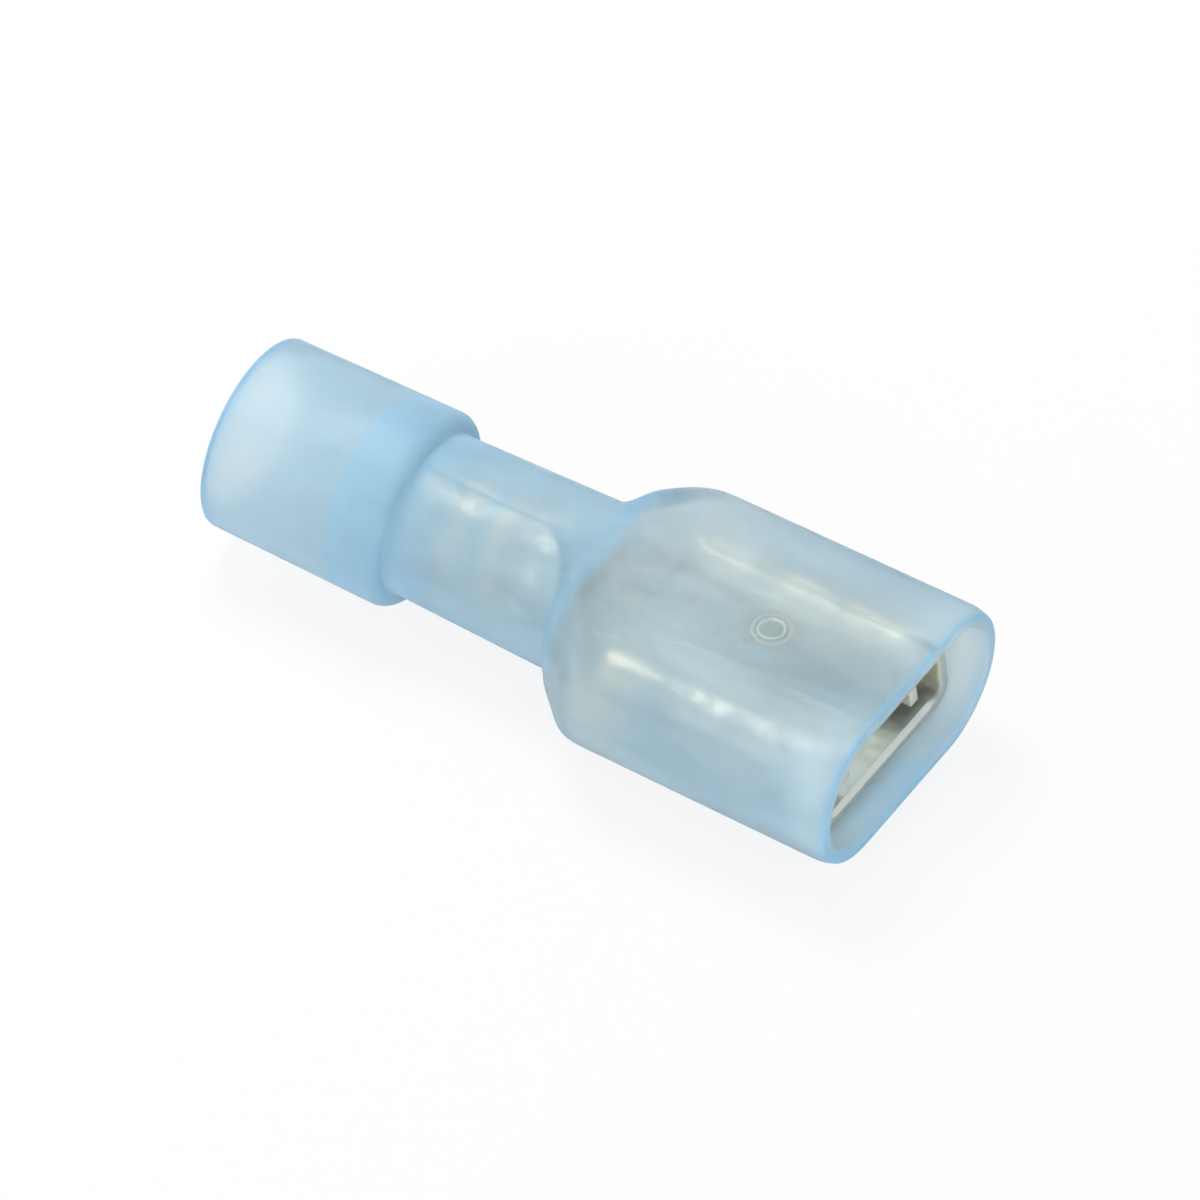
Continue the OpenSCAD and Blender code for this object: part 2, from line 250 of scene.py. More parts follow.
def nylonMaterial():
    tree = Tree(bpy.data.materials.new("mouldedNylon"))
    coords = tree.objectCoords()
    flowCoords = tree.objectCoords(scale=(nylonLook["cloudStretch"], 1, 1))
    thick = tree.attribute("thick")
    # painted light on the cavity's sides and painted highlight along the witness ring, from the
    # shell's vertices
    pale = tree.attribute("pale")
    clouds = tree.ramp(
        tree.noise(flowCoords, nylonLook["cloudSize"], 3.0, 0.55), (0.35, 0.0), (0.68, 1.0))
    grain = tree.noise(coords, nylonLook["grainSize"], 2.0, 0.6)
    roughness = nylonLook["roughness"] + (clouds - 0.5) * 0.05 + (grain - 0.5) * 0.06
    relief = tree.bump(clouds, 0.06, 0.0002)
    clear = tree.node("ShaderNodeBsdfPrincipled", None, {
        "Base Color": (*nylonLook["clearTint"], 1),
        "Roughness": roughness,
        "Normal": relief,
        "IOR": nylonLook["ior"],
        "Transmission Weight": nylonLook["clearness"],
    })
    thin = tree.colours(clouds, (*nylonLook["milkTint"], 1), (*nylonLook["cloudTint"], 1))
    tinted = tree.colours(thick, thin, (*nylonLook["edgeTint"], 1))
    milky = tree.node("ShaderNodeBsdfPrincipled", None, {
        "Base Color": tree.colours(pale, tinted, (*nylonLook["paintedLightTint"], 1)),
        "Roughness": roughness,
        "Normal": relief,
        "IOR": nylonLook["ior"],
    })
    mottle = tree.noise(coords, nylonLook["mottleSize"])
    share = nylonLook["milk"] + clouds * nylonLook["cloudMilk"]
    share = share + (mottle - 0.5) * nylonLook["mottleMilk"]
    share = share + thick * nylonLook["thickMilk"] + pale * nylonLook["paintedLightMilk"]
    surface = tree.node("ShaderNodeMixShader", None, {0: share, 1: clear, 2: milky})
    volume = tree.node("ShaderNodeVolumeAbsorption", None, {
        "Color": (*nylonLook["depthTint"], 1),
        "Density": nylonLook["depthDensity"],
    })
    return tree.finish(surface, volume)


housing = dict(
    ringPoints=144,         # points round each ring of the shell
    rimRadius=3.10,         # wire barrel outside, at its rim
    rimRound=0.12,
    boreRadius=2.50,        # and inside
    boreRimRound=0.12,
    boreDepth=4.75,         # where the funnel starts
    funnelRadius=1.40,      # the funnel's small end
    funnelRound=0.20,
    seatRound=0.04,         # edge of the step that the crimp barrel stops at
    shoulderX=6.25,
    shoulderRound=0.43,
    footOffset=0.02,        # how far the shoulder's foot stands out along X
    footRound=0.08,
    neckBoreRadius=1.80,    # the neck inside, round the crimp barrel
    neckRadius=2.62,        # the neck outside, at the shoulder
    neckEndRadius=2.77,     # and at the flare
    flareX=11.65,
    flareLength=2.95,
    flareSlope=40.0,        # degrees from the axis
    flareReach=0.675,       # share of the body's width that the cone ends at
    flareSwell=4,           # power of the late swell that brings it there
    flareTrim=0.35,         # share of the flare over which the oval's trim sets in
    flareCrispness=14,
    bodyWidth=9.90,
    bodyHeight=5.25,
    bodyDraft=0.05,
    wall=0.55,
    flatHalf=2.60,          # half the width that counts as the cavity's roof and floor
    mouthTaper=0.12,        # how far the outside draws in at the mouth
    mouthTaperLength=0.60,
    mouthRound=0.04,        # outer edge of the mouth
    innerRound=0.06,        # inner edge
    landWidth=3.70,         # raised land inside the roof
    landHeight=0.25,
    railWidth=0.45,         # rails under the receptacle's floor
    railSpacing=3.20,
    railTop=-1.80,          # where the floor rests
    thickOutside=(          # x, and how thick the nylon looks there, from 0 to 1
        (0.0, 0.9), (0.3, 0.46), (4.2, 0.42), (4.8, 0.8), (5.3, 0.65), (6.8, 0.75),
        (7.8, 0.58), (9.7, 0.58), (10.3, 0.45), (11.0, 0.58), (12.0, 0.58), (12.4, 0.66),
        (12.8, 0.66), (13.2, 0.24), (23.0, 0.24), (23.3, 0.95)),
    thickInside=(           # the same for the inner wall, where less than 0 counts as 0
        (0.0, 0.7), (0.3, 0.3), (4.3, 0.35), (4.8, 0.6), (6.0, 0.6), (6.2, -0.3),
        (20.5, -0.3), (21.8, 0.65), (22.9, 0.85), (23.3, 0.95)),
    sideThick=0.45,         # the least of it on the body's round sides
    sideRise=2.0,           # length over which that sets in
    roofShare=0.25,         # what is left of it on the cavity's roof
    sidePaintedLight=1.0,           # painted light on the cavity's round sides, near the mouth
    paintedLightX=21.0,             # where that sets in
    paintedLightRise=1.4,
    paintedLightFade=0.6,           # and how far before the mouth it fades out
    ringX=18.75,            # witness ring on the roof
    ringY=-0.57,
    ringRadius=0.62,
    ringInner=0.36,
    ringBead=0.10,          # width of the higher bead along the inner edge
    ringHeight=0.06,
    ringStep=0.02,          # height of the rest
    ringLean=0.02,          # how far its walls lean in
    ringLine=0.10,          # width of the line along the outer edge that gets a painted highlight
    ringPaintedHighlight=0.35,          # painted highlight in that line
    beadPaintedHighlight=0.60,          # and in the bead
    insidePaintedHighlight=0.20,        # and at the foot of the bead
    ringFlat=0.06,          # flat strip all round it, inside and out
    ringRound=0.02,
)
bodyX = housing["flareX"] + housing["flareLength"]


def ovalRadius(angle, width, height):
    # from the centre to the edge of a flat oval with full-round ends
    r = height / 2
    c = (width - height) / 2
    flat = r / max(abs(math.sin(angle)), 1e-4)
    if flat * abs(math.cos(angle)) < c:
        return flat
    return c * abs(math.cos(angle)) + math.sqrt(r * r - (c * math.sin(angle)) ** 2)


def softMin(a, b, crispness):
    return (a ** -crispness + b ** -crispness) ** (-1 / crispness)


def flareRadius(u, angle, neck, width, height):
    # a cone from the round neck, trimmed by the oval; u is 0 at the neck and 1 at the body
    slope = housing["flareLength"] * math.tan(math.radians(housing["flareSlope"]))
    swell = housing["flareReach"] * width - neck - slope
    cone = neck + slope * u + swell * u ** housing["flareSwell"]
    trimmed = softMin(cone, ovalRadius(angle, width, height), housing["flareCrispness"])
    return mix(neck, trimmed, ease(u / housing["flareTrim"]))


def circle(x, radius, edge=0, segments=0):
    # a ring of the shell: x, the radius at an angle, the rounding of its edge and the
    # segments of that
    return x, lambda angle: radius, edge, segments


def oval(x, width, height, edge=0, segments=0):
    return x, lambda angle: ovalRadius(angle, width, height), edge, segments


def flare(u, neck, width, height):
    x = housing["flareX"] + housing["flareLength"] * u
    return x, lambda angle: flareRadius(u, angle, neck, width, height), 0, 0


def outerRings():
    # from the wire rim to the mouth
    width = housing["bodyWidth"]
    height = housing["bodyHeight"]
    draft = 2 * housing["bodyDraft"]
    shoulderX = housing["shoulderX"]
    footX = shoulderX + housing["footOffset"]
    taperX = mouthX - housing["mouthTaperLength"]
    rings = [circle(0, housing["rimRadius"], housing["rimRound"], 3)]
    for t in steps(0, 0.88, 13):    # clear of the shoulder's rounding
        rings.append(circle(shoulderX * t, mix(housing["rimRadius"], wireEndRadius, t)))
    rings.append(circle(shoulderX, wireEndRadius, housing["shoulderRound"], 7))
    rings.append(circle(footX, housing["neckRadius"], housing["footRound"], 3))
    for t in steps(0, 1, 14):
        neckRadius = mix(housing["neckRadius"], housing["neckEndRadius"], t)
        rings.append(circle(mix(shoulderX, housing["flareX"], t), neckRadius))
    for u in steps(0, 1, 22):
        rings.append(flare(u, housing["neckEndRadius"], width - draft, height - draft))
    for t in steps(0, 1, 18):
        less = draft * (1 - t)
        rings.append(oval(mix(bodyX, taperX, t), width - less, height - less))
    for t in steps(0, 1, 8):
        less = 2 * housing["mouthTaper"] * t * t
        last = (housing["mouthRound"], 2) if t == 1 else (0, 0)
        rings.append(oval(mix(taperX, mouthX, t), width - less, height - less, *last))
    return rings


def innerRings():
    # from the mouth back to the wire rim
    draft = 2 * housing["bodyDraft"]
    width = housing["bodyWidth"] - 2 * housing["wall"]
    height = housing["bodyHeight"] - 2 * housing["wall"]
    rings = [oval(mouthX, width, height, housing["innerRound"], 2)]
    for t in steps(1, 0, 20):
        less = draft * (1 - t)
        rings.append(oval(mix(bodyX, mouthX, t), width - less, height - less))
    for u in steps(1, 0, 20):
        rings.append(flare(u, housing["neckBoreRadius"], width - draft, height - draft))
    for t in steps(0, 1, 14):
        rings.append(circle(mix(housing["flareX"], seatX, t), housing["neckBoreRadius"]))
    rings.append(circle(seatX, housing["funnelRadius"], housing["seatRound"], 2))
    for t in steps(0, 1, 4)[:-1]:
        funnelRadius = mix(housing["funnelRadius"], housing["boreRadius"], t)
        rings.append(circle(mix(seatX, housing["boreDepth"], t), funnelRadius))
    rings.append(circle(housing["boreDepth"], housing["boreRadius"], housing["funnelRound"], 3))
    for t in steps(0, 1, 10)[:-1]:
        rings.append(circle(mix(housing["boreDepth"], 0, t), housing["boreRadius"]))
    rings.append(circle(0, housing["boreRadius"], housing["boreRimRound"], 3))
    return rings


def stopsAt(stops, x):
    # stops are places along the part with a value each, mixed between two of them
    for (low, a), (high, b) in zip(stops, stops[1:]):
        if x <= high:
            return mix(a, b, ease((x - low) / (high - low)))
    return stops[-1][1]


def thickShare(x, angle, outside):
    # how thick the nylon looks at a point of the shell
    sideward = abs(math.cos(angle)) ** 3
    least = housing["sideThick"] * sideward * ease((x - bodyX) / housing["sideRise"])
    if outside:
        return max(stopsAt(housing["thickOutside"], x), least)
    share = stopsAt(housing["thickInside"], x)
    roofward = ease(math.sin(angle) + 0.5) if x > bodyX else 0
    return max(mix(share, share * housing["roofShare"], roofward), least)


def paintedLightShare(x, angle, outside):
    # painted light: how much the milk is lightened there, only on the cavity's round sides, near
    # the mouth
    if outside or x <= bodyX:
        return 0
    sideward = abs(math.cos(angle)) ** 3
    rise = ease((x - housing["paintedLightX"]) / housing["paintedLightRise"])
    fade = ease((mouthX - x) / housing["paintedLightFade"])
    return housing["sidePaintedLight"] * sideward * rise * fade


def buildShell(bm):
    # a closed skin: the rings out to the mouth and back inside, joined at the wire rim
    turn = bm.verts.layers.float.new("turn")
    thick = bm.verts.layers.float.new("thick")
    # painted light on the cavity's sides near the mouth, and painted highlight on the witness ring
    pale = bm.verts.layers.float.new("pale")
    points = housing["ringPoints"]
    verts = bmesh.ops.create_circle(bm, segments=points, radius=1.0)["verts"]
    for vert in verts:
        vert[turn] = math.atan2(vert.co.y, vert.co.x)
    firstRow = row = list(bm.edges)
    softened = []
    outer = outerRings()
    for index, (x, radiusAt, width, segments) in enumerate(outer + innerRings()):
        outside = index < len(outer)
        if index:
            verts, row = extrudeRow(bm, row)
        for vert in verts:
            angle = vert[turn]
            radius = radiusAt(angle)
            vert.co = place(x, radius * math.cos(angle), radius * math.sin(angle))
            vert[thick] = thickShare(x, angle, outside)
            vert[pale] = paintedLightShare(x, angle, outside)
        if width:
            softened.append((row, width, segments))
    bmesh.ops.bridge_loops(bm, edges=row + firstRow)
    bmesh.ops.recalc_face_normals(bm, faces=bm.faces)
    for edges, width, segments in softened:
        roundEdges(bm, edges, width, segments)


def cutFaces(bm, inside, spans):
    # cuts the faces that inside() picks along the spans' limits in x and y, and gives
    # those between the limits
    for axis, limits in enumerate(spans):
        for limit in limits:
            picked = [f for f in bm.faces if inside(f)]
            around = {g for f in picked for g in (*f.verts, *f.edges, f)}
            point = Vector((0, 0, 0))
            point[axis] = limit
            normal = Vector((0, 0, 0))
            normal[axis] = 1
            bmesh.ops.bisect_plane(
                bm, geom=list(around), plane_co=point, plane_no=normal, dist=1e-7)
    return [
        f for f in bm.faces if inside(f) and all(
            low < f.calc_center_median()[axis] < high
            for axis, (low, high) in enumerate(spans))]


def raiseFaces(bm, inside, spans, height):
    # moves the faces between the limits to a height, which leaves a wall all round
    chosen = cutFaces(bm, inside, spans)
    made = bmesh.ops.extrude_face_region(bm, geom=chosen)["geom"]
    for vert in onlyVerts(made):
        vert.co.z = height
    bmesh.ops.delete(bm, geom=chosen, context="FACES")


def cavityFaces(side):
    # picks the flat faces of the cavity: its roof for side 1, its floor for side -1
    half = housing["bodyHeight"] / 2 - housing["wall"]

    def inside(face):
        # the draft brings these faces up to 0.05 mm short of the cavity's full height
        middle = face.calc_center_median() / mm
        short = half - side * (middle.z - axisZ)
        return (-0.02 < short < 0.08 and abs(middle.y) < housing["flatHalf"]
                and middle.x - rimX > bodyX and side * face.normal.z < -0.9)

    return inside


def addLandAndRails(bm):
    # the raised land inside the roof, and the two rails that carry the terminal's floor
    half = housing["bodyHeight"] / 2 - housing["wall"]
    landStart = (rimX + bodyX + housing["landHeight"]) * mm
    landEnd = (rimX + mouthX - 2 * housing["innerRound"]) * mm
    landHalf = housing["landWidth"] / 2 * mm
    raiseFaces(
        bm, cavityFaces(1), ((landStart, landEnd), (-landHalf, landHalf)),
        (axisZ + half - housing["landHeight"]) * mm)
    railStart = (rimX + bodyX + housing["railWidth"]) * mm
    railEnd = (rimX + floorFrontX - housing["railWidth"]) * mm
    for side in (-1, 1):
        low = (side * housing["railSpacing"] / 2 - housing["railWidth"] / 2) * mm
        high = low + housing["railWidth"] * mm
        raiseFaces(
            bm, cavityFaces(-1), ((railStart, railEnd), (low, high)),
            (axisZ + housing["railTop"]) * mm)


def addWitnessRing(bm):
    # opens a square in the outer roof, fills it round the ring, and raises the ring
    taperX = mouthX - housing["mouthTaperLength"]
    low = mix(housing["bodyDraft"], 0, (housing["ringX"] - bodyX) / (taperX - bodyX))
    slope = housing["bodyDraft"] / (taperX - bodyX)
    middle = place(housing["ringX"], housing["ringY"], housing["bodyHeight"] / 2 - low)
    reach = housing["ringRadius"] * 1.5 * mm
    near = 4 * reach

    def outside(face):
        spot = face.calc_center_median()
        return (face.normal.z > 0.9 and abs(spot.z - middle.z) < 0.1 * mm
                and abs(spot.x - middle.x) < near and abs(spot.y - middle.y) < near)

    def shapeRow(row, radius, height):
        for vert in {v for e in row for v in e.verts}:
            away = (vert.co - middle).to_2d().normalized() * radius * mm
            vert.co = middle + Vector((away.x, away.y, away.x * slope + height * mm))

    spans = (
        (middle.x - reach, middle.x + reach), (middle.y - reach, middle.y + reach))
    chosen = cutFaces(bm, outside, spans)
    around = {e for f in chosen for e in f.edges}
    square = [e for e in around if sum(f in chosen for f in e.link_faces) == 1]
    bmesh.ops.delete(bm, geom=chosen, context="FACES")
    made = bmesh.ops.create_circle(
        bm, segments=48, radius=housing["ringRadius"] * mm, matrix=Matrix.Translation(middle))
    row = list({e for v in made["verts"] for e in v.link_edges})
    outer = housing["ringRadius"]
    inner = housing["ringInner"]
    bead = inner + housing["ringBead"]
    step = housing["ringStep"]
    top = housing["ringHeight"]
    lean = housing["ringLean"]
    shapeRow(row, outer + housing["ringFlat"], 0)
    bmesh.ops.triangle_fill(bm, use_beauty=True, edges=square + row, normal=(0, 0, 1))
    # painted highlight along the ring's outer line and its bead
    pale = bm.verts.layers.float["pale"]
    rows = (
        # radius, height, and the painted highlight there
        (outer, 0, housing["ringPaintedHighlight"]),
        (outer - lean, step, housing["ringPaintedHighlight"]),
        (outer - housing["ringLine"], step, 0),
        (bead, step, 0),
        (bead - lean, top, housing["beadPaintedHighlight"]),
        (inner + lean, top, housing["beadPaintedHighlight"]),
        (inner, 0, housing["insidePaintedHighlight"]),
    )
    edges = []
    for radius, height, share in rows:
        verts, row = extrudeRow(bm, row)
        shapeRow(row, radius, height)
        edges += row
        for vert in verts:
            vert[pale] = share
    verts, row = extrudeRow(bm, row)
    shapeRow(row, inner - housing["ringFlat"], 0)
    for vert in verts:
        vert[pale] = 0
    bmesh.ops.contextual_create(bm, geom=row)
    roundEdges(bm, edges, housing["ringRound"], 2)


def buildHousing():
    bm = bmesh.new()
    buildShell(bm)
    addLandAndRails(bm)
    addWitnessRing(bm)
    bmesh.ops.recalc_face_normals(bm, faces=bm.faces)
    return makePiece("nylonHousing", bm, nylonMaterial(), "housing")


terminal = dict(
    sheet=0.40,             # thickness
    crimpLength=4.30,
    crimpRadius=1.75,       # outside
    seamGap=0.10,
    grooveCount=3,          # grip grooves inside the crimp barrel
    grooveDepth=0.08,
    grooveWidth=0.30,
    grooveEdge=0.02,        # length over which a groove's side falls
    openLength=3.80,        # from the crimp barrel to the receptacle
    openShare=0.80,         # share of that over which the seam opens
    widenFrom=0.33,         # share of that before the strip widens
    receptacleLength=8.20,
    floorZ=-1.80,           # underside
    floorBend=0.80,
    sideHeight=0.50,        # straight side wall of the open stretch
    rollBend=1.05,
    curlBend=0.95,
    crestZ=1.10,
    tipZ=-0.70,
    lean=9.0,               # of the rolls' front and rear edges, in degrees
    leadIn=0.15,
    dimpleRadius=0.75,
    dimpleHeight=0.30,
    dimpleBack=4.60,        # from the floor's front edge
    dimpleMargin=0.15,      # finer faces reach this far past it
    edgeRound=0.045,
)
crimpEndX = seatX + terminal["crimpLength"]
receptacleX = crimpEndX + terminal["openLength"]
floorHalf = receptacleHalfWidth - terminal["floorBend"]
quarter = math.pi / 2

metalLook = dict(
    tin=(1.0, 0.90, 0.72),          # warm tin plate
    dullTin=(0.66, 0.64, 0.56),
    warmTin=(1.0, 0.75, 0.45),      # the crimp barrel's warmer bands, where the brass shows through; they also paint blobs into its highlight
    shadedFloorTin=(0.56, 0.62, 0.59),    # painted shade on the floor, under the rolls
    bareBrass=(0.62, 0.63, 0.58),   # along the sheared edges
    roughness=0.40,
    stainSize=700.0,                # dull stains, per metre, as the other pattern sizes
    smearSize=2600.0,               # tin smeared over the sheared edges
    rolledSize=9000.0,              # fine lines along the rolled sheet
    rolledStretch=0.06,
    waveSize=760.0,                 # waves that forming leaves in the sheet
    waveDepth=0.00018,              # metres
    wavePlace=(0.0511, 0.0373, 0.024),  # metres, shifts the waves along the sheet
    rollWaves=3.0,                  # how much deeper they are on the rolls
    crimpWaves=0.3,                 # share of that on the crimp barrel
    highlightBandPitch=1.36,                 # mm between the duller and warmer bands round the crimp barrel, which paint blobs into its highlight
)


def onCrimp(tree):
    # 1 on the crimp barrel and 0 from just past it
    crimpX = (rimX + crimpEndX) * mm
    return 1 - tree.objectAxis(0).between(crimpX, crimpX + 0.5 * mm)


def metalSurface(tree, colour, stained):
    rolledCoords = tree.objectCoords(scale=(metalLook["rolledStretch"], 1, 1))
    rolled = tree.noise(rolledCoords, metalLook["rolledSize"])
    waveCoords = tree.objectCoords(location=metalLook["wavePlace"])
    waves = tree.noise(waveCoords, metalLook["waveSize"])
    crestTop = (axisZ + terminal["crestZ"]) * mm
    formed = tree.objectAxis(2).between(crestTop - 0.9 * mm, crestTop - 0.5 * mm)
    formed = formed.math("MAXIMUM", onCrimp(tree) * metalLook["crimpWaves"])
    deeper = 1 + formed * (metalLook["rollWaves"] - 1)
    wavy = tree.bump(waves * deeper, 0.5, metalLook["waveDepth"])
    roughness = metalLook["roughness"] + stained * 0.14 + (rolled - 0.5) * 0.10
    return tree.node("ShaderNodeBsdfPrincipled", None, {
        "Base Color": colour,
        "Roughness": roughness - formed * 0.06,
        "Metallic": 1.0,
        "Normal": tree.bump(rolled, 0.2, 0.00001, wavy),
    })


def tinMaterial():
    tree = Tree(bpy.data.materials.new("tinPlatedSheet"))
    stained = tree.ramp(
        tree.noise(tree.objectCoords(), metalLook["stainSize"], 4.0, 0.6),
        (0.40, 0.0), (0.66, 1.0))
    colour = tree.colours(stained, (*metalLook["tin"], 1), (*metalLook["dullTin"], 1))
    crimped = onCrimp(tree)
    crimpX = (rimX + crimpEndX) * mm
    # painted highlight: dull and warm bands round the crimp barrel break its highlight into blobs
    turns = (tree.objectAxis(0) - crimpX) * (2 * math.pi / metalLook["highlightBandPitch"] / mm)
    highlightBands = turns.math("SINE") * 0.5 + 0.5
    paintedHighlightBands = tree.colours(highlightBands, (*metalLook["dullTin"], 1), (*metalLook["warmTin"], 1))
    colour = tree.colours(crimped, colour, paintedHighlightBands)
    # painted shade: the floor and the foot of the walls are darker, except on the crimp barrel
    floorTop = (axisZ + terminal["floorZ"] + terminal["sheet"]) * mm
    raised = tree.objectAxis(2).between(floorTop + 0.1 * mm, floorTop + 0.5 * mm)
    onFloor = (1 - raised) * (1 - crimped)
    colour = tree.colours(onFloor, colour, (*metalLook["shadedFloorTin"], 1))
    return tree.finish(metalSurface(tree, colour, stained))


def shearedEdgeMaterial():
    tree = Tree(bpy.data.materials.new("shearedEdge"))
    smeared = tree.ramp(
        tree.noise(tree.objectCoords(), metalLook["smearSize"], 3.0, 0.6),
        (0.35, 0.0), (0.65, 1.0))
    colour = tree.colours(smeared, (*metalLook["bareBrass"], 1), (*metalLook["dullTin"], 1))
    return tree.finish(metalSurface(tree, colour, smeared))


def walk(distance, startZ, legs):
    # follows straight legs (radius 0) and left-hand bends from the middle of the floor
    y, z, heading = 0.0, startZ, 0.0
    for length, radius in legs:
        part = min(distance, length)
        distance -= part
        if radius:
            turned = heading + part / radius
            y += radius * (math.sin(turned) - math.sin(heading))
            z -= radius * (math.cos(turned) - math.cos(heading))
            heading = turned
        else:
            y += part * math.cos(heading)
            z += part * math.sin(heading)
    return y, z


def receptacleLegs():
    # half the section, from the middle of the floor to the tip of the curl
    return [
        (floorHalf, 0),
        (terminal["floorBend"] * quarter, terminal["floorBend"]),
        (terminal["crestZ"] - terminal["rollBend"] - terminal["floorZ"] - terminal["floorBend"], 0),
        (terminal["rollBend"] * quarter, terminal["rollBend"]),
        (terminal["curlBend"] * quarter, terminal["curlBend"]),
        (terminal["crestZ"] - terminal["curlBend"] - terminal["tipZ"], 0),
    ]


def openLegs(u):
    # the open stretch, from the closed barrel at u = 0 to the receptacle at u = 1
    opened = ease(u / terminal["openShare"])
    widened = ease((u - terminal["widenFrom"]) / (1 - terminal["widenFrom"]))
    closed = math.pi - math.asin(terminal["seamGap"] / 2 / terminal["crimpRadius"])
    radius = mix(terminal["crimpRadius"], terminal["floorBend"], widened)
    startZ = mix(-terminal["crimpRadius"], terminal["floorZ"], widened)
    return startZ, [
        (mix(0, floorHalf, widened), 0),
        (radius * mix(closed, quarter, opened), radius),
        (mix(0, terminal["sideHeight"], widened), 0),
    ]


def dimpleRise(x, y):
    # how far the dimple lifts the underside of the floor
    height = terminal["dimpleHeight"]
    topRadius = (terminal["dimpleRadius"] ** 2 + height ** 2) / (2 * height)
    radius = topRadius - terminal["sheet"]
    away = math.hypot(x - (floorFrontX - terminal["dimpleBack"]), y)
    if away >= radius:
        return 0.0
    middle = terminal["sheet"] + height - topRadius
    return max(0.0, middle + math.sqrt(radius * radius - away * away))


def receptaclePoint(across, along):
    # across is measured along the section from the middle of the floor
    y, z = walk(abs(across), terminal["floorZ"], receptacleLegs())
    lean = math.tan(math.radians(terminal["lean"]))
    floorTopZ = terminal["floorZ"] + terminal["sheet"]
    sideTopZ = terminal["floorZ"] + terminal["floorBend"] + terminal["sideHeight"]
    rear = receptacleX + max(0.0, z - sideTopZ) * lean
    front = floorFrontX - max(0.0, z - floorTopZ) * lean
    x = mix(rear, front, along / terminal["receptacleLength"])
    y = math.copysign(y, across)
    if abs(across) < floorHalf:
        z += dimpleRise(x, y)
    return place(x, y, z)


def stripReach():
    # half the width of the strip that runs on from the receptacle's floor and bends
    return floorHalf + terminal["floorBend"] * quarter + terminal["sideHeight"]


def openPoint(across, u, back=0):
    # a point of the open stretch, or with u = 0 of the crimp barrel, back from its end
    startZ, legs = openLegs(u)
    share = abs(across) / stripReach()
    y, z = walk(share * sum(leg[0] for leg in legs), startZ, legs)
    return place(mix(crimpEndX, receptacleX, u) - back, math.copysign(y, across), z)


def acrossStops():
    # places across half the receptacle's section, measured along it
    floor, bend, side, roll, curl, tip = [length for length, radius in receptacleLegs()]
    dimpleEdge = terminal["dimpleRadius"] + terminal["dimpleMargin"]
    stops = steps(0, dimpleEdge, 9) + steps(dimpleEdge, floor, 6)
    lower = terminal["sideHeight"]
    for length, count in (
            (bend, 7), (lower, 2), (side - lower, 2), (roll, 10), (curl, 10), (tip, 3)):
        stops += steps(stops[-1], stops[-1] + length, count)
    return stops


def alongStops():
    # places along the receptacle, closer together over the dimple
    dimple = terminal["receptacleLength"] - terminal["dimpleBack"]
    low = dimple - terminal["dimpleRadius"] - terminal["dimpleMargin"]
    high = dimple + terminal["dimpleRadius"] + terminal["dimpleMargin"]
    stops = steps(0, low, 7) + steps(low, high, 18)
    stops += steps(high, terminal["receptacleLength"] - terminal["leadIn"], 10)
    return stops + [terminal["receptacleLength"]]


def crimpStops():
    # places back along the crimp barrel, and 1 in a groove or 0 beside it
    pitch = terminal["crimpLength"] / (terminal["grooveCount"] + 1)
    edge = terminal["grooveEdge"]
    stops = []
    for i in range(terminal["grooveCount"]):
        low = (i + 1) * pitch - terminal["grooveWidth"] / 2
        high = (i + 1) * pitch + terminal["grooveWidth"] / 2
        stops += [(low - edge, 0), (low, 1), (high, 1), (high + edge, 0)]
    return stops + [(terminal["crimpLength"], 0)]


def firstSheetRow(bm, across):
    # a row of vertices from the middle of the floor to both tips
    middle = bmesh.ops.create_vert(bm, co=(0, 0, 0))["vert"][0]
    for side in (-1, 1):
        last = middle
        for stop in acrossStops():
            last = bmesh.ops.extrude_vert_indiv(bm, verts=[last])["verts"][0]
            last[across] = side * stop
    return list(bm.edges)


def giveThickness(piece):
    # the surface is the sheet's outer side, and its vertex group thins the sheet
    piece.data.materials.append(shearedEdgeMaterial())
    piece.vertex_groups.new(name="thickness")
    wall = piece.modifiers.new("sheet", "SOLIDIFY")
    wall.thickness = terminal["sheet"] * mm
    wall.offset = -1
    wall.use_even_offset = True
    wall.use_quality_normals = True
    wall.vertex_group = "thickness"
    wall.material_offset_rim = 1
    soften = piece.modifiers.new("edges", "BEVEL")
    soften.width = terminal["edgeRound"] * mm
    soften.segments = 2
    soften.limit_method = "ANGLE"
    soften.angle_limit = math.radians(40)


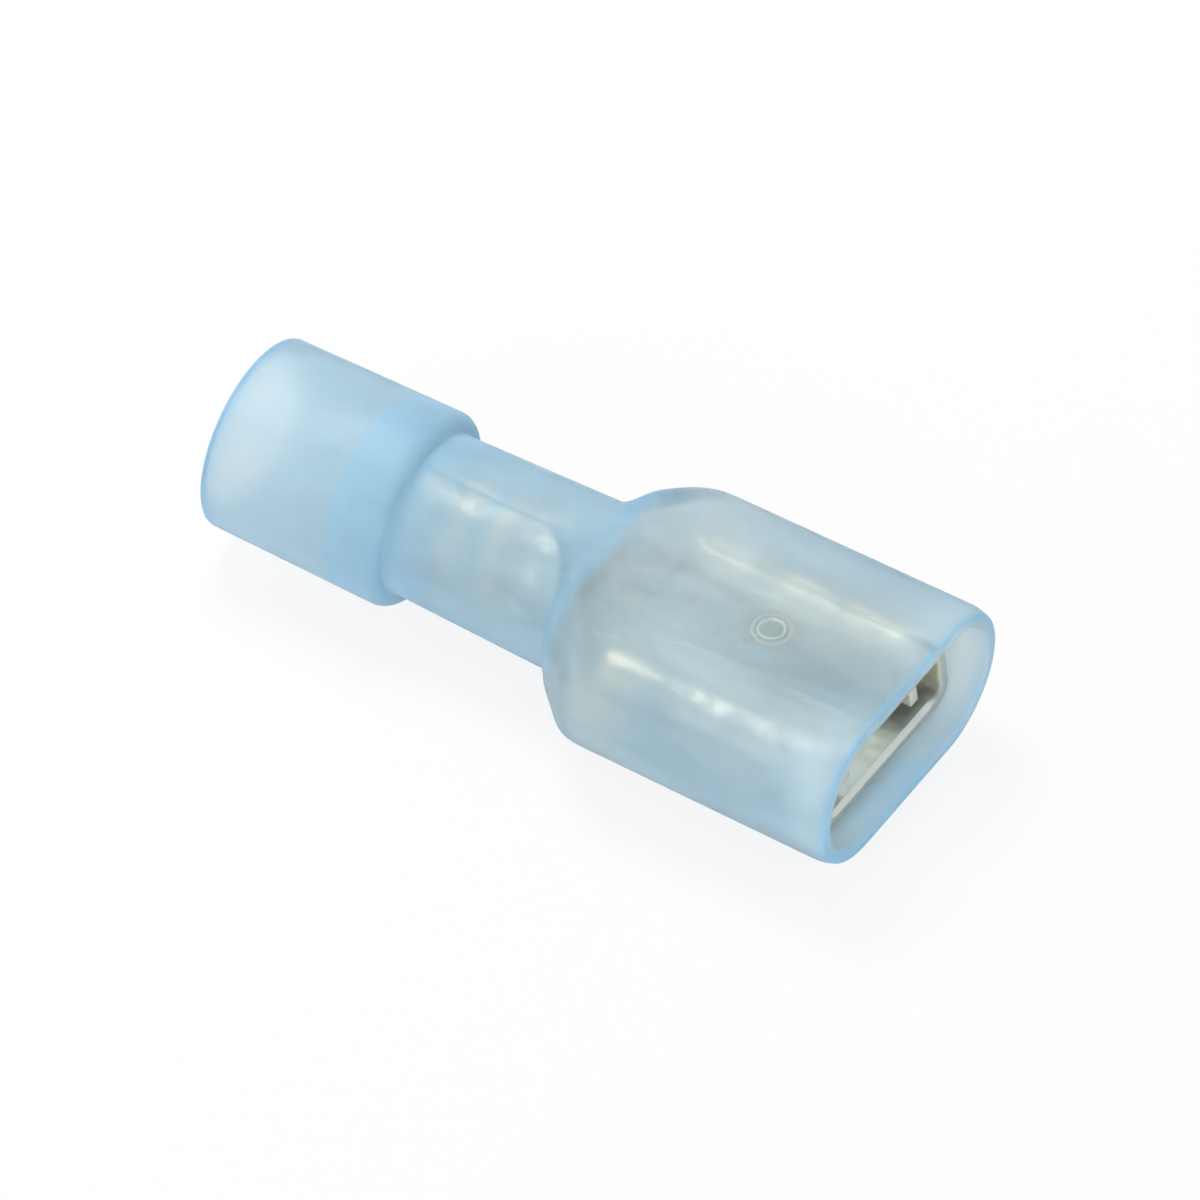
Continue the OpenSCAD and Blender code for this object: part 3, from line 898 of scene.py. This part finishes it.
def buildTerminal():
    bm = bmesh.new()
    across = bm.verts.layers.float.new("across")
    deform = bm.verts.layers.deform.new()
    rearRow = row = firstSheetRow(bm, across)
    for vert in bm.verts:
        vert.co = receptaclePoint(vert[across], 0)
        vert[deform][0] = 1.0
    for along in alongStops():
        verts, row = extrudeRow(bm, row)
        for vert in verts:
            onFloor = abs(vert[across]) < floorHalf
            thinned = terminal["leadIn"] if onFloor and along == terminal["receptacleLength"] else 0
            vert.co = receptaclePoint(vert[across], along)
            vert[deform][0] = 1 - thinned / terminal["sheet"]

    # the middle of the rear row runs back through the open stretch to the crimp barrel
    reach = stripReach() + 0.001
    row = [e for e in rearRow if max(abs(v[across]) for v in e.verts) < reach]
    for u in steps(1, 0, 22):
        verts, row = extrudeRow(bm, row)
        for vert in verts:
            vert.co = openPoint(vert[across], u)
            vert[deform][0] = 1.0
    for back, groove in crimpStops():
        verts, row = extrudeRow(bm, row)
        for vert in verts:
            vert.co = openPoint(vert[across], 0, back)
            vert[deform][0] = 1 - groove * terminal["grooveDepth"] / terminal["sheet"]
    bmesh.ops.recalc_face_normals(bm, faces=bm.faces)
    floorFace = min(bm.faces, key=lambda f: f.calc_center_median().z)
    if floorFace.normal.z > 0:
        bmesh.ops.reverse_faces(bm, faces=bm.faces)
    piece = makePiece("tinnedTerminal", bm, tinMaterial(), "terminal")
    giveThickness(piece)
    return piece


view = dict(
    azimuth=32.05,          # degrees, as the two below
    elevation=46.17,
    roll=0.86,
    distance=583.0,
    fieldWidth=35.95,       # what the frame spans at that distance
    aimRight=0.590,         # from the axis at mid-length, along the frame's own directions
    aimUp=-0.473,
    sensor=36.0,
)


def makeCamera():
    a = math.radians(view["azimuth"])
    e = math.radians(view["elevation"])
    r = math.radians(view["roll"])
    back = Vector((math.sin(a) * math.cos(e), -math.cos(a) * math.cos(e), math.sin(e)))
    level = Vector((math.cos(a), math.sin(a), 0))
    upright = back.cross(level)
    right = math.cos(r) * level + math.sin(r) * upright
    up = math.cos(r) * upright - math.sin(r) * level
    aim = Vector((0, 0, axisZ)) + right * view["aimRight"] + up * view["aimUp"]
    data = bpy.data.cameras.new("camera")
    data.sensor_width = view["sensor"]
    data.lens = view["sensor"] * view["distance"] / view["fieldWidth"]
    data.clip_start = 0.05
    data.clip_end = 10.0
    camera = bpy.data.objects.new("camera", data)
    turned = Matrix((right, up, back)).transposed().to_4x4()
    camera.matrix_world = Matrix.Translation((aim + back * view["distance"]) * mm) @ turned
    bpy.context.scene.collection.objects.link(camera)
    bpy.context.scene.camera = camera
    print("camera placed")


studio = dict(
    floorSize=400.0,
    floorColour=(0.93, 0.93, 0.93),
    floorGlow=0.85,         # how much of the floor is seen as plain white
    skyStrength=0.55,       # of the light from all round
    lamps=(
        # name, place, size, watts
        ("overheadSoftbox", (-60, 35, 140), 76, 0.118),
        ("sideSoftbox", (-60, -150, 90), 110, 0.04),
        ("frontSoftbox", (130, -110, 50), 100, 0.06),
    ),
)


def seenDirectly(tree):
    # 1 for what the camera sees, also in metal and through nylon
    path = tree.node("ShaderNodeLightPath")
    outputs = path.socket.node.outputs
    seen = path + Sock(tree, outputs["Is Glossy Ray"]) + Sock(tree, outputs["Is Transmission Ray"])
    return seen.math("MINIMUM", 1.0)


def makeFloor():
    bm = bmesh.new()
    bmesh.ops.create_grid(bm, x_segments=1, y_segments=1, size=studio["floorSize"] / 2 * mm)
    mesh = bpy.data.meshes.new("floor")
    bm.to_mesh(mesh)
    bm.free()
    floor = bpy.data.objects.new("floor", mesh)
    bpy.context.scene.collection.objects.link(floor)
    tree = Tree(bpy.data.materials.new("paleFloor"))
    matt = tree.node("ShaderNodeBsdfDiffuse", None, {"Color": (*studio["floorColour"], 1)})
    white = tree.node("ShaderNodeEmission", None, {"Color": (1, 1, 1, 1), "Strength": 1.0})
    mixed = tree.node("ShaderNodeMixShader", None, {
        0: seenDirectly(tree) * studio["floorGlow"], 1: matt, 2: white})
    mesh.materials.append(tree.finish(mixed))


def makeSky():
    world = bpy.data.worlds.new("studio")
    bpy.context.scene.world = world
    tree = Tree(world)
    strength = seenDirectly(tree) * (1 - studio["skyStrength"]) + studio["skyStrength"]
    sky = tree.node("ShaderNodeBackground", None, {"Color": (1, 1, 1, 1), "Strength": strength})
    tree.finish(sky, kind="ShaderNodeOutputWorld")


def makeLamps():
    for name, spot, size, watts in studio["lamps"]:
        data = bpy.data.lights.new(name, "AREA")
        data.shape = "DISK"
        data.size = size * mm
        data.energy = watts
        lamp = bpy.data.objects.new(name, data)
        lamp.location = Vector(spot) * mm
        lamp.rotation_mode = "QUATERNION"
        lamp.rotation_quaternion = lamp.location.to_track_quat("Z", "Y")
        bpy.context.scene.collection.objects.link(lamp)
    print("studio lit,", len(studio["lamps"]), "lamps")


buildHousing()
buildTerminal()
makeFloor()
makeSky()
makeLamps()
makeCamera()
bpy.context.scene.view_settings.view_transform = "Standard"
